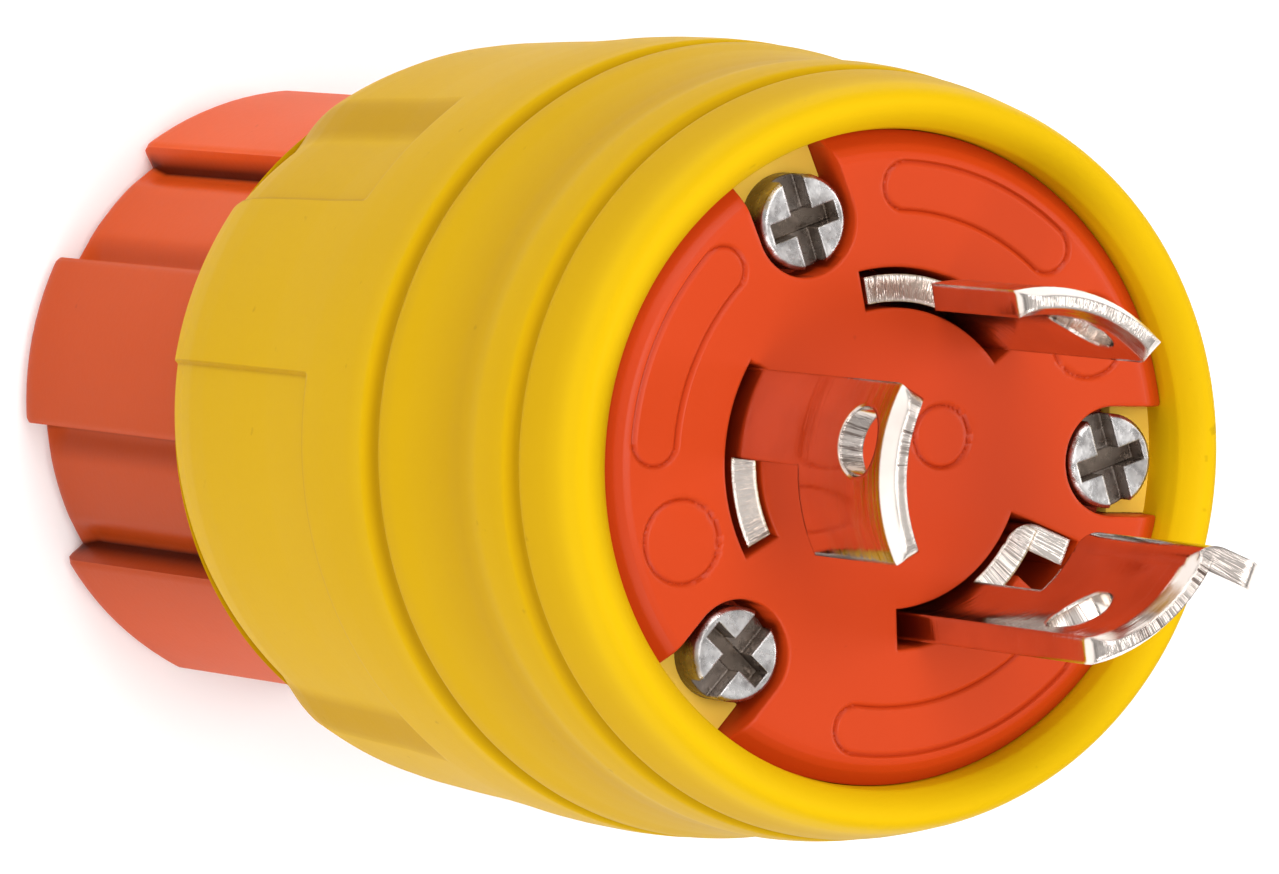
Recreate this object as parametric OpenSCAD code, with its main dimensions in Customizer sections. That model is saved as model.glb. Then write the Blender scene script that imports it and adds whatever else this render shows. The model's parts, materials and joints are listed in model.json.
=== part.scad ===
// Locking power plug, three hooked blades in a round face, wet-location type.
// Millimetres. The axis is Z: the blades point up, and the plug stands on the
// rear end of its cord nut at z = 0. Angles run anticlockwise, seen from the face.

/* [Overall] */
// Height of the contact face above the rear end of the cord nut
face_height = 67.2; // [66:0.2:72]
// Outer radius of the front rim, level with the contact face
rim_radius = 19.2; // [18.9:0.1:20]
// How far the rim stands proud of the contact face
rim_rise = 1.3; // [0.8:0.1:1.8]
// Largest radius of the body, behind the rear groove
belly_radius = 21; // [20.8:0.1:22]
// Radius of the body just ahead of its rear edge
tail_radius = 20.2; // [19.9:0.1:20.6]
// Height of the body's rear edge above the nut end
rear_edge_height = 22.9; // [22:0.1:24]

/* [Body grooves and grip] */
// Depth below the face of the front groove's centre
front_groove_drop = 4.1; // [3.6:0.1:4.6]
// Depth below the face of the rear groove's centre
rear_groove_drop = 17.5; // [17:0.1:18.2]
// How deep both grooves are cut
groove_depth = 0.38; // [0.2:0.02:0.5]
// Hollow of the waist between the two grooves
waist_depth = 0.3; // [0.1:0.05:0.5]
// Depth below the face where the two wide grip pockets begin
wide_pocket_drop = 25.3; // [24.5:0.1:27]
// Depth below the face where the two narrow grip pockets begin
narrow_pocket_drop = 26.3; // [24.5:0.1:27]
// Angle of the edge at which the first wide pocket begins
wide_pocket_angle = 171.5; // [168:0.5:175]
// Angle over which a wide pocket deepens
wide_pocket_span = 56.5; // [50:0.5:60]
// Angle of the edge at which the first narrow pocket begins
narrow_pocket_angle = 144.5; // [142:0.5:148]
// Angle over which a narrow pocket deepens
narrow_pocket_span = 13.5; // [10:0.5:16]
// Angle of the ramp that leads out of a pocket
pocket_ramp = 9; // [7:0.5:11]
// Depth of the step where a pocket begins
pocket_step = 0.12; // [0.08:0.02:0.2]
// Depth of a pocket where it is deepest
pocket_depth = 0.58; // [0.45:0.02:0.65]

/* [Contact face] */
// Radius of the contact carrier
carrier_radius = 16.8; // [16.6:0.05:16.9]
// Thickness of the contact carrier
carrier_thickness = 8; // [7:0.1:9]
// Width of the bevel round the carrier's face
carrier_bevel = 1.1; // [0.6:0.1:1.4]
// Depth of the bare label pads
pad_depth = 0.25; // [0.15:0.05:0.4]
// Radius of the ring on which the arched pads lie
pad_ring_radius = 13.95; // [13.7:0.05:14.1]
// Width of an arched pad
pad_width = 2.5; // [2:0.1:2.7]

/* [Layout of the face, angles anticlockwise] */
// Angle at which the first line blade's neck begins
line_one_angle = 44.6; // [43:0.1:46]
// Angle at which the second line blade's neck begins
line_two_angle = 150.7; // [149:0.1:152]
// Angle at which the ground blade's neck begins
ground_angle = 279.6; // [278.5:0.1:281]
// Angle of the middle one of the three assembly screws
screw_angle = 114.2; // [113:0.1:115.5]
// Angle from the middle screw to the other two
screw_spread = 114.8; // [114:0.1:115.5]
// Where the pad between the first screw and the first blade begins
pad_one_angle = 50.6; // [49:0.2:52]
// Angle over which that pad runs
pad_one_span = 38; // [30:0.5:39]
// Where the pad between the two line blades begins
pad_two_angle = 137; // [136:0.5:139]
// Angle over which that pad runs
pad_two_span = 39.5; // [30:0.5:40]
// Where the pad under the ground blade begins
pad_three_angle = 263; // [261:0.5:264]
// Angle over which that pad runs
pad_three_span = 51; // [40:0.5:52]
// Radius of the two larger round pads
round_pad_radius = 2.15; // [1.8:0.05:2.2]
// Radius of the small round pad near the middle
small_pad_radius = 1.6; // [1.2:0.05:1.8]

/* [Blades] */
// Inner radius of the ring of blades
blade_inner_radius = 8.06; // [7.9:0.02:8.2]
// Thickness of the blade metal
blade_thickness = 1.4; // [1.2:0.05:1.5]
// Reach of the two line blades above the face
line_reach = 15.8; // [15:0.1:16.6]
// Reach of the ground blade above the face
ground_reach = 18.2; // [17.4:0.1:19]
// Height of the hook's underside above the face
hook_height = 6.7; // [6.3:0.1:7.1]
// Angle covered by a hook
hook_span = 57.5; // [56:0.5:58.5]
// Angle covered by a blade's neck
neck_span = 29; // [27:0.5:31]
// Radius of the detent hole through each blade
detent_radius = 1.8; // [1.6:0.05:2]
// How far the ground blade's flange stands out from the ring
ground_flange = 2.85; // [2.4:0.05:3.1]
// Outer radius of the bend between ground blade and flange
flange_bend = 1.6; // [1.2:0.1:1.8]
// Radius of the flange's outer corner
flange_corner = 1.3; // [0.8:0.1:1.6]
// Gap between a blade and its slot
slot_gap = 0.34; // [0.3:0.02:0.4]
// Width of the slot for the ground blade's flange
flange_slot_width = 3.4; // [2.4:0.1:3.6]

/* [Assembly screws] */
// Radius of the circle of assembly screws
screw_circle = 13.2; // [13:0.05:13.3]
// Radius of an assembly screw head
screw_head_radius = 2.45; // [2.3:0.05:2.5]
// Height of an assembly screw head
screw_head_height = 2.75; // [2.4:0.05:2.9]
// Width of the slot across a screw head
screw_slot_width = 1.3; // [0.8:0.05:1.5]
// Width of the cross recess's shorter arm
cross_width = 1.05; // [0.7:0.05:1.2]
// Depth of the recess in a screw head
recess_depth = 1.1; // [0.8:0.05:1.4]
// Radius of the screw shank
screw_radius = 1.45; // [1.3:0.05:1.5]
// Outer radius of a threaded insert
insert_radius = 2.3; // [2.2:0.05:2.4]

/* [Cord nut and gland] */
// Length of the cord nut
nut_length = 26; // [25.4:0.1:26.4]
// Radius of the nut over its lobes
nut_lobe_radius = 16.9; // [16.5:0.1:17.2]
// Radius of the nut between its lobes
nut_root_radius = 15.65; // [15.2:0.05:15.9]
// Number of lobes on the nut
nut_lobes = 6; // [5:1:6]
// Angle covered by one lobe
lobe_span = 32.5; // [30:0.5:34]
// Radius of the threaded neck, over its thread
neck_radius = 12.7; // [12.5:0.05:12.9]
// Radius of the gland bore inside the neck
gland_radius = 10.2; // [10:0.05:10.4]
// Radius of the cord that the grommet takes
cord_radius = 5; // [4.5:0.1:5.5]
// Thickness of the nut's rear wall
nut_wall = 5.5; // [5:0.1:6]

/* [Hidden] */
$fn = 72;
eps = 0.01;
fit = 0.05;          // running fit and seat clearance, radial
thread_fit = 0.08;   // plain clearance that stands for the nut's thread
seat = 0.02;         // gap left between pressed faces

screw_angles = [screw_angle, screw_angle - screw_spread, screw_angle + screw_spread];
recess_turns = [-4, 109, -1];         // how far each screw's slot is turned
line_starts = [line_one_angle, line_two_angle];
blade_starts = concat(line_starts, [ground_angle]);
slot_leads = [4.8, 1.4, 5.8];        // how far each slot runs ahead of its blade, in degrees
slot_tails = [1.2, 2.7, 1.8];        // and past it

z_face = face_height;
z_rim = face_height + rim_rise;
z_carrier = face_height - carrier_thickness;
blade_outer = blade_inner_radius + blade_thickness;
flange_tip = blade_outer + ground_flange;
flange_root = flange_tip - 0.75;     // the flange is narrower at the face
flange_spare = 0.15;                 // room on the flange's far side, in its slot
flange_turn = 1.6;                   // flange's far side past the end of the hook, in degrees
slot_in = blade_inner_radius - slot_gap;
slot_out = blade_outer + slot_gap;

// Face seal and the ledge it lies on
seal_thick = 1.2;
z_ledge = z_carrier - seal_thick;
recess_radius = carrier_radius + fit;
seal_in = screw_circle + screw_radius + 0.25;

// Screw seats
notch_radius = screw_head_radius + 0.38;
z_seat = z_face - screw_head_height - 0.3;
lug_radius = screw_radius + 0.75;
ear_start = 1.15;
z_ear_floor = z_carrier + 0.15;
insert_length = 8;
boss_radius = insert_radius + 1.1;
boss_length = 12;

// Gland stack inside the nut and neck, from the rear end up
washer_thick = 1.6;
collet_length = 7.2;
grommet_length = 11;
seal_ring_thick = 1.4;
z_washer = nut_wall;
z_collet = z_washer + washer_thick;
z_grommet = z_collet + collet_length;
z_gland_seat = z_grommet + grommet_length;
z_neck = z_collet + 1.4;
z_skirt = nut_length + seal_ring_thick;
skirt_radius = nut_lobe_radius + 0.5;
cord_passage = cord_radius + 2;

// Wiring space
cavity_radius = 13.6;
z_cavity = z_gland_seat + 3.7;
base_thick = 5;
foot_thick = 1.4;
base_radius = 11.4;
z_base = z_carrier - base_thick;
leg_half = 15;
leg_reach = 13.4;
z_leg = z_carrier - leg_reach;
z_terminal = z_carrier - 9.2;
terminal_radius = 1.5;
terminal_head_radius = 2.4;
base_head_radius = 2.6;
clamp_inner = 5.4;     // radius at which the wire clamps begin
foot_spare = 3.4;      // how far a foot runs past its blade, in degrees
coin_height = 0.9;
coin_depth = 0.4;

// ---------- shared shapes ----------

// Part of a ring, from start over span degrees
module arc_bar(inner, outer, z0, z1, start, span) {
    rotate([0, 0, start])
        rotate_extrude(angle = span)
            translate([inner, z0]) square([outer - inner, z1 - z0]);
}

module at_screws() {
    for (a = screw_angles) rotate([0, 0, a]) translate([screw_circle, 0, 0]) children();
}

// Frame of the ground blade's flange, which points along x with its far side on y = 0
module at_flange() rotate([0, 0, ground_angle + hook_span + flange_turn]) children();

// A drill along the radius, through the ring of blades
module radial_drill(angle, z, radius, from, to) {
    rotate([0, 0, angle]) translate([from, 0, z]) rotate([0, 90, 0])
        cylinder(r = radius, h = to - from, $fn = 32);
}

// ---------- body ----------

// Straight taper of the body behind the belly
function taper_radius(drop) =
    belly_radius + (tail_radius - belly_radius)
        * (drop - 22) / (z_face - rear_edge_height - 4.5 - 22);

// Outline of the body from the rim's inner edge down to the rear edge.
// The rim corner and the tail corner are quarter ellipses, the waist a half sine.
function body_outline() = let (
        lip = carrier_radius + 0.85,
        flat_end = rim_radius - 0.7,
        front_drop = front_groove_drop,
        rear_drop = rear_groove_drop,
        front_r = rim_radius + 0.62,
        rear_r = belly_radius - 0.12,
        waist_from = front_drop + 3.3,
        waist_to = rear_drop - 1.5,
        waist_r0 = rim_radius + 1.05,
        tail_drop = z_face - rear_edge_height
    ) concat(
        [[lip, z_rim - 0.05], [flat_end, z_rim]],
        [for (a = [22.5 : 22.5 : 90])
            [flat_end + 0.75 * sin(a), z_face + rim_rise * cos(a)]],
        [[rim_radius + 0.36, z_face - 1.9],
         [front_r, z_face - front_drop + 0.66],
         [front_r - groove_depth * 0.8, z_face - front_drop + 0.2],
         [front_r - groove_depth, z_face - front_drop - 0.05],
         [front_r - groove_depth * 0.6, z_face - front_drop - 0.35],
         [front_r + 0.17, z_face - front_drop - 0.7]],
        [for (t = [0 : 0.1 : 1])
            [waist_r0 + (rear_r - 0.05 - waist_r0) * t - waist_depth * sin(180 * t),
             z_face - waist_from - (waist_to - waist_from) * t]],
        [[rear_r, z_face - rear_drop + 0.8],
         [rear_r - groove_depth * 0.75, z_face - rear_drop + 0.25],
         [rear_r - groove_depth, z_face - rear_drop - 0.05],
         [rear_r - groove_depth * 0.6, z_face - rear_drop - 0.35],
         [rear_r + 0.06, z_face - rear_drop - 0.85],
         [belly_radius, z_face - 20.2],
         [belly_radius - 0.02, z_face - 22]],
        [[taper_radius(tail_drop - 5.1), rear_edge_height + 5.1]],
        [for (a = [0 : 15 : 75])
            [taper_radius(tail_drop - 4.2) - 1.3 * (1 - cos(a)),
             rear_edge_height + 4.2 * (1 - sin(a))]],
        [[taper_radius(tail_drop - 4.2) - 1.3, rear_edge_height]]
    );

function polar(radius, angle) = [radius * cos(angle), radius * sin(angle)];

// One grip pocket, open at the body's rear edge. It begins with a small step, and its
// floor sinks along the span, because it is a cone set off the body's axis. A straight
// ramp leads out of its deep end. A negative span runs clockwise.
module grip_pocket(start, span, drop, lead) {
    way = sign(span);
    deep = start + span;
    end = deep + way * pocket_ramp;
    z0 = rear_edge_height - 1;
    z1 = z_face - drop;
    middle = taper_radius(z_face - (z0 + z1) / 2);
    swing = (pocket_depth - pocket_step) / (cos(lead) - cos(abs(span) + lead));
    sink = pocket_step + swing * cos(lead);
    bottom = polar(middle - pocket_depth - 0.03, deep);
    top = polar(middle, end);
    difference() {
        translate([0, 0, z0]) linear_extrude(z1 - z0)
            polygon([[0, 0], polar(belly_radius + 12, start),
                     polar(belly_radius + 15, start + span / 2),
                     polar(belly_radius + 12, end + way * 16), top + 1.9 * (top - bottom), bottom]);
        translate(concat(polar(swing, start - way * lead), [z0 - 1]))
            cylinder(r1 = taper_radius(z_face - z0 + 1) - sink,
                     r2 = taper_radius(drop - 1) - sink, h = z1 - z0 + 2, $fn = 120);
    }
}

// Seat beside each screw head, in one piece with the wall
module ear(clear) {
    translate([ear_start - clear, -notch_radius + 0.06 - clear, z_ear_floor - clear])
        cube([recess_radius + 0.6 - screw_circle - ear_start + clear,
              2 * (notch_radius - 0.06 + clear),
              z_seat - 0.06 - z_ear_floor + clear]);
}

module housing() color([0.86, 0.70, 0.13]) {
    difference() {
        union() {
            rotate_extrude() polygon(concat(
                body_outline(),
                [[skirt_radius, rear_edge_height], [skirt_radius, z_skirt],
                 [neck_radius, z_skirt], [neck_radius, z_neck + 1],
                 [neck_radius - 1, z_neck], [gland_radius, z_neck],
                 [gland_radius, z_gland_seat], [cord_passage, z_gland_seat],
                 [cord_passage, z_cavity], [cavity_radius, z_cavity + 2.5],
                 [cavity_radius, z_ledge], [recess_radius, z_ledge],
                 [recess_radius, z_face - 0.55]]));
            intersection() {
                at_screws() translate([0, 0, z_ledge - boss_length])
                    cylinder(r = boss_radius, h = boss_length - 0.4, $fn = 40);
                cylinder(r = cavity_radius + 1.5, h = z_face);
            }
        }
        at_screws() translate([0, 0, z_ledge - insert_length - 1.4])
            cylinder(r = insert_radius + fit, h = insert_length + 2, $fn = 40);
        for (turn = [0, 180]) {
            grip_pocket(wide_pocket_angle + turn, wide_pocket_span, wide_pocket_drop, 21.5);
            grip_pocket(narrow_pocket_angle + turn, -narrow_pocket_span, narrow_pocket_drop, 60);
        }
    }
    intersection() {
        difference() {
            at_screws() ear(0);
            at_screws() translate([0, 0, z_ear_floor - 1])
                cylinder(r = lug_radius + 0.08, h = 20, $fn = 40);
        }
        cylinder(r = recess_radius + 0.4, h = z_face);
    }
}

// ---------- contact face ----------

// Arched pad with round ends
module arched_pad(start, span) {
    translate([0, 0, z_face - pad_depth]) {
        arc_bar(pad_ring_radius - pad_width / 2, pad_ring_radius + pad_width / 2,
                0, 1, start, span);
        for (a = [start, start + span]) rotate([0, 0, a]) translate([pad_ring_radius, 0, 0])
            cylinder(r = pad_width / 2 - 0.03, h = 1, $fn = 32);
    }
}

module round_pad(radius, angle, size) {
    rotate([0, 0, angle]) translate([radius, 0, z_face - pad_depth])
        cylinder(r = size, h = 1, $fn = 40);
}

module blade_slot(start, lead, tail) {
    arc_bar(slot_in, slot_out, z_carrier - 1, z_face + 1, start - lead, hook_span + lead + tail);
}

module screw_notch() {
    translate([0, 0, z_seat]) {
        cylinder(r = notch_radius, h = 10, $fn = 48);
        translate([0, -notch_radius, 0]) cube([8, 2 * notch_radius, 10]);
    }
    translate([0, 0, z_carrier - 1]) {
        difference() {
            translate([ear_start - 0.08, -notch_radius, 0])
                cube([8, 2 * notch_radius, z_seat - z_carrier + 1 + eps]);
            translate([0, 0, -1]) cylinder(r = lug_radius, h = 12, $fn = 40);
        }
        cylinder(r = screw_radius + 0.15, h = 12, $fn = 32);
    }
}

module contact_carrier() color([0.93, 0.34, 0.14]) {
    difference() {
        union() {
            translate([0, 0, z_carrier])
                cylinder(r = carrier_radius, h = carrier_thickness - 0.6, $fn = 96);
            translate([0, 0, z_face - 0.6])
                cylinder(r1 = carrier_radius, r2 = carrier_radius - carrier_bevel, h = 0.6, $fn = 96);
        }
        for (k = [0 : 2]) blade_slot(blade_starts[k], slot_leads[k], slot_tails[k]);
        at_flange() translate([slot_in + 1.2, flange_spare - flange_slot_width, z_carrier - 1])
            cube([flange_root + slot_gap - slot_in - 1.2, flange_slot_width,
                  carrier_thickness + 2]);
        at_screws() screw_notch();
        arched_pad(pad_one_angle, pad_one_span);
        arched_pad(pad_two_angle, pad_two_span);
        arched_pad(pad_three_angle, pad_three_span);
        round_pad(pad_ring_radius - 1.05, 199, round_pad_radius);
        round_pad(pad_ring_radius - 0.85, 28.8, round_pad_radius);
        round_pad(slot_in / 2 - 0.76, 21.8, small_pad_radius);
        translate([0, 0, z_carrier - 1])
            cylinder(r = terminal_radius + 0.03, h = 6.5, $fn = 32);
    }
}

module terminal_base() color([0.16, 0.16, 0.17]) {
    difference() {
        union() {
            translate([0, 0, z_base]) cylinder(r = base_radius, h = base_thick - seat);
            for (a = screw_angles) rotate([0, 0, a])
                translate([3.4, -0.6, z_base - 9]) cube([base_radius - 6.4, 1.2, 9 + eps]);
        }
        at_screws() translate([0, 0, z_base - 10])
            cylinder(r = boss_radius + 0.4, h = 20, $fn = 40);
        for (start = blade_starts) {
            arc_bar(blade_inner_radius - 0.2, blade_outer + 0.2,
                    z_carrier - foot_thick - 0.1, z_carrier + 1,
                    start - foot_spare - 0.8, hook_span + 2 * foot_spare + 1.6);
            arc_bar(blade_inner_radius - 0.12, blade_outer + 0.12,
                    z_base - 1, z_carrier - 0.5, start + hook_span / 2 - leg_half - 1,
                    2 * leg_half + 2);
        }
        at_flange() translate([blade_inner_radius, -blade_thickness - 0.15,
                               z_carrier - foot_thick - 0.1])
            cube([base_radius, blade_thickness + 0.3, 4]);
        translate([0, 0, z_base - 1]) cylinder(r = terminal_radius + 0.2, h = 8, $fn = 32);
    }
}

// ---------- blades ----------

// Takes the corner off a blade's tip: on the neck side, or on the hook side
module corner_cut(angle, side, tip, radius) {
    rotate([0, 0, angle]) translate([blade_inner_radius - 2, 0, tip]) difference() {
        translate([0, side > 0 ? -2 : -radius, -radius]) cube([5, radius + 2, radius + 1]);
        translate([-1, side * radius, -radius]) rotate([0, 90, 0])
            cylinder(r = radius, h = 7, $fn = 32);
    }
}

// The sheet from which a blade is cut: a strip of ring with a thinned tip.
// A blade is drawn with its neck's free edge at angle 0, then turned to its place.
module blade_blank(reach) {
    tip = z_face + reach;
    rotate([0, 0, -foot_spare]) rotate_extrude(angle = hook_span + 2 * foot_spare)
        polygon([[blade_inner_radius, z_leg], [blade_outer, z_leg],
                 [blade_outer, tip - coin_height], [blade_outer - coin_depth, tip],
                 [blade_inner_radius + coin_depth, tip],
                 [blade_inner_radius, tip - coin_height]]);
}

// Takes away a stretch of the strip, right through the metal
module strip_cut(z0, z1, start, span)
    arc_bar(blade_inner_radius - 2, blade_outer + 2, z0, z1, start, span);

module blade(reach) {
    tip = z_face + reach;
    difference() {
        blade_blank(reach);
        strip_cut(z_face, z_face + hook_height, neck_span, hook_span);
        strip_cut(z_carrier - seat, tip + 1, -foot_spare - 5, foot_spare + 5);
        strip_cut(z_carrier - seat, tip + 1, hook_span, foot_spare + 5);
        strip_cut(z_leg - 1, z_carrier - foot_thick, hook_span / 2 - leg_half - 20, 20);
        strip_cut(z_leg - 1, z_carrier - foot_thick, hook_span / 2 + leg_half, 20);
        corner_cut(0, 1, tip, 1.4);
        corner_cut(hook_span, -1, tip, 1.1);
        radial_drill(19.5, z_face + 12.4, detent_radius,
                     blade_inner_radius - 2, blade_outer + 2);
        radial_drill(hook_span / 2, z_terminal, terminal_radius + 0.15,
                     blade_inner_radius - 2, blade_outer + 2);
    }
}

module blade_line_1() color([0.80, 0.80, 0.78]) rotate([0, 0, line_starts[0]]) blade(line_reach);
module blade_line_2() color([0.80, 0.80, 0.78]) rotate([0, 0, line_starts[1]]) blade(line_reach);

// The ground blade has a flange bent outwards along the far edge of its hook and base
module blade_ground() color([0.80, 0.80, 0.78]) difference() {
    union() {
        rotate([0, 0, ground_angle]) blade(ground_reach);
        at_flange() {
            difference() {
                translate([blade_inner_radius + 0.2, -blade_thickness, z_face + hook_height])
                    cube([flange_tip - blade_inner_radius - 0.2, blade_thickness,
                          ground_reach - hook_height - 0.25]);
                translate([flange_tip - flange_corner, -3,
                           z_face + ground_reach - 0.25 - flange_corner]) difference() {
                    cube([3, 6, 3]);
                    rotate([-90, 0, 0]) translate([0, 0, -1])
                        cylinder(r = flange_corner, h = 8, $fn = 32);
                }
            }
            translate([blade_inner_radius + 0.2, -blade_thickness, z_carrier - foot_thick])
                cube([flange_root - blade_inner_radius - 0.2, blade_thickness,
                      carrier_thickness + foot_thick - 0.1]);
        }
    }
    at_flange() translate([blade_inner_radius - 0.1, 0, z_carrier - foot_thick - 1])
        difference() {
            translate([-2, -flange_bend, 0])
                cube([2 + flange_bend, flange_bend + 1, ground_reach + carrier_thickness + 6]);
            translate([flange_bend, -flange_bend, -1])
                cylinder(r = flange_bend, h = ground_reach + carrier_thickness + 8, $fn = 40);
        }
}

// ---------- screws, inserts and terminals ----------

// Cheese-head screw pointing down, its head standing on z = 0, with a slot right across
// the head and a cross recess whose arms stop short of the rim
module head_screw(head, height, shank, length, turn) {
    deep = min(recess_depth, height - 0.6);
    arm = 0.8 * head;
    difference() {
        union() {
            cylinder(r = head, h = height - 0.2, $fn = 40);
            translate([0, 0, height - 0.2]) cylinder(r1 = head, r2 = head - 0.2, h = 0.2, $fn = 40);
        }
        rotate([0, 0, turn]) {
            translate([-head - 1, -screw_slot_width / 2, height - deep])
                cube([2 * head + 2, screw_slot_width, 2]);
            translate([-cross_width / 2, -arm, height - deep - 0.1])
                cube([cross_width, 2 * arm, 2]);
        }
    }
    translate([0, 0, -length]) cylinder(r = shank, h = length + 0.3, $fn = 32);
}

module assembly_screws() color([0.72, 0.71, 0.69])
    for (k = [0 : 2]) rotate([0, 0, screw_angles[k]])
        translate([screw_circle, 0, z_seat + seat])
            head_screw(screw_head_radius, screw_head_height, screw_radius,
                       z_seat - z_ledge + insert_length - 1, recess_turns[k]);

module screw_inserts() color([0.78, 0.62, 0.28])
    at_screws() translate([0, 0, z_ledge - insert_length - 0.3]) difference() {
        cylinder(r = insert_radius, h = insert_length, $fn = 40);
        translate([0, 0, -1]) cylinder(r = screw_radius + fit, h = insert_length + 2, $fn = 32);
    }

module face_seal() color([0.12, 0.12, 0.12])
    translate([0, 0, z_ledge + seat]) rotate_extrude()
        polygon([[seal_in, 0], [recess_radius - 0.3, 0],
                 [recess_radius - 0.3, seal_thick - 2 * seat], [seal_in, seal_thick - 2 * seat]]);

module base_screw() color([0.72, 0.71, 0.69])
    translate([0, 0, z_base - seat]) rotate([180, 0, 0])
        head_screw(base_head_radius, 1.8, terminal_radius, base_thick + 5, 20);

// Pressure plate behind a blade's leg, holding the wire against it
module wire_clamp(start) {
    rotate([0, 0, start + hook_span / 2]) difference() {
        intersection() {
            translate([clamp_inner - 0.2, -2.9, z_terminal - 3.4]) cube([4, 5.8, 6.8]);
            translate([0, 0, z_terminal - 5]) cylinder(r = blade_inner_radius - 0.1, h = 10);
        }
        translate([0, 0, z_terminal]) rotate([0, 90, 0])
            cylinder(r = terminal_radius + 0.03, h = 12, $fn = 32);
    }
}

module wire_clamp_line_1() color([0.80, 0.64, 0.30]) wire_clamp(line_starts[0]);
module wire_clamp_line_2() color([0.80, 0.64, 0.30]) wire_clamp(line_starts[1]);
module wire_clamp_ground() color([0.80, 0.64, 0.30]) wire_clamp(ground_angle);

// Its head bears on the outside of the leg, so the head is set out by the ring's curve
module terminal_screw(start) {
    rotate([0, 0, start + hook_span / 2])
        translate([blade_outer + seat, 0, z_terminal]) rotate([0, 90, 0])
            head_screw(terminal_head_radius, 1.6, terminal_radius,
                       blade_outer - clamp_inner, 20);
}

module terminal_screws_line() color([0.82, 0.66, 0.32])
    for (start = line_starts) terminal_screw(start);

module terminal_screw_ground() color([0.16, 0.42, 0.22]) terminal_screw(ground_angle);

// ---------- cord nut and gland ----------

module cord_nut() color([0.90, 0.37, 0.18]) {
    difference() {
        union() {
            rotate_extrude() polygon([[cord_radius + 2.4, 0.9], [cord_radius + 3.3, 0],
                [nut_root_radius - 1.2, 0], [nut_root_radius - 0.35, 0.35],
                [nut_root_radius, 1.2], [nut_root_radius, nut_length],
                [cord_radius + 2.4, nut_length]]);
            for (k = [0 : nut_lobes - 1])
                rotate([0, 0, 169.75 - lobe_span / 2 + k * 360 / nut_lobes])
                    rotate_extrude(angle = lobe_span)
                        polygon([[neck_radius + 1, 0], [nut_lobe_radius - 1.6, 0],
                                 [nut_lobe_radius - 0.5, 0.45], [nut_lobe_radius - 0.1, 1.5],
                                 [nut_lobe_radius, 5], [nut_lobe_radius, nut_length - 1.2],
                                 [nut_lobe_radius - 0.8, nut_length - 0.4],
                                 [neck_radius + 1, nut_length - 0.4]]);
        }
        translate([0, 0, nut_wall]) cylinder(r = neck_radius + thread_fit, h = nut_length);
    }
}

module nut_seal() color([0.12, 0.12, 0.12])
    translate([0, 0, nut_length + seat]) rotate_extrude()
        polygon([[neck_radius + 0.35, 0], [nut_root_radius - 0.4, 0],
                 [nut_root_radius - 0.2, 0.3], [nut_root_radius - 0.2, seal_ring_thick - 2 * seat],
                 [neck_radius + 0.35, seal_ring_thick - 2 * seat]]);

module thrust_washer() color([0.90, 0.88, 0.82])
    translate([0, 0, z_washer + seat]) difference() {
        cylinder(r = neck_radius - 0.5, h = washer_thick - 2 * seat);
        translate([0, 0, -1]) cylinder(r = cord_radius + 1.6, h = 4, $fn = 48);
    }

// Slit ring whose fingers close on the cord as the nut drives it up the cone
module grip_collet() color([0.88, 0.86, 0.80])
    translate([0, 0, z_collet]) difference() {
        cylinder(r = gland_radius - 0.35, h = collet_length - seat);
        translate([0, 0, -1]) cylinder(r = cord_radius + 0.4, h = collet_length + 2, $fn = 48);
        for (k = [0 : 5]) rotate([0, 0, 60 * k])
            translate([0, -0.5, 2.4]) cube([gland_radius + 2, 1, collet_length]);
    }

module cord_grommet() color([0.14, 0.14, 0.14])
    translate([0, 0, z_grommet + seat]) difference() {
        cylinder(r = gland_radius - 0.3, h = grommet_length - 2 * seat);
        translate([0, 0, -1]) cylinder(r = cord_radius, h = grommet_length + 2, $fn = 48);
    }

housing();
contact_carrier();
terminal_base();
blade_line_1();
blade_line_2();
blade_ground();
assembly_screws();
screw_inserts();
face_seal();
base_screw();
wire_clamp_line_1();
wire_clamp_line_2();
wire_clamp_ground();
terminal_screws_line();
terminal_screw_ground();
cord_nut();
nut_seal();
thrust_washer();
grip_collet();
cord_grommet();
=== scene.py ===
import json
import math

import bmesh
import bpy
import numpy as np
from mathutils import Matrix, Vector

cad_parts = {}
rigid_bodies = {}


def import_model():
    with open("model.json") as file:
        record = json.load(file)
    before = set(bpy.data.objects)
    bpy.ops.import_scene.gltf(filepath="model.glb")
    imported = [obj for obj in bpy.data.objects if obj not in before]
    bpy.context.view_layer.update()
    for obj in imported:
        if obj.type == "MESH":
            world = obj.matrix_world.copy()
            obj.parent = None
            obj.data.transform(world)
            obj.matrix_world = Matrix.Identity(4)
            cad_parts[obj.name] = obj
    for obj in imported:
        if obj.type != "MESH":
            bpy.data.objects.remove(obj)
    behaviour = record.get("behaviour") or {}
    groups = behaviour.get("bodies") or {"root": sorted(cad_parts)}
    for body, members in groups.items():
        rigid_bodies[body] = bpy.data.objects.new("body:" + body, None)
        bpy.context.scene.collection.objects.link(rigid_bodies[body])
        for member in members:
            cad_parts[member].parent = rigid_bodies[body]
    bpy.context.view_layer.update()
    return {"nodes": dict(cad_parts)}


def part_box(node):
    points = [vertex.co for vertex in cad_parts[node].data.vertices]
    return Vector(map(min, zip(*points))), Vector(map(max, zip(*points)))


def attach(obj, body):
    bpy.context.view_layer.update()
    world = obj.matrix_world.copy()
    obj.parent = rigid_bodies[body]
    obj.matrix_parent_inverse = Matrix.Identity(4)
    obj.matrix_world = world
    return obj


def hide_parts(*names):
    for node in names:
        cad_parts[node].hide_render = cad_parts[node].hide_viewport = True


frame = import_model()
mm = 0.001
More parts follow.
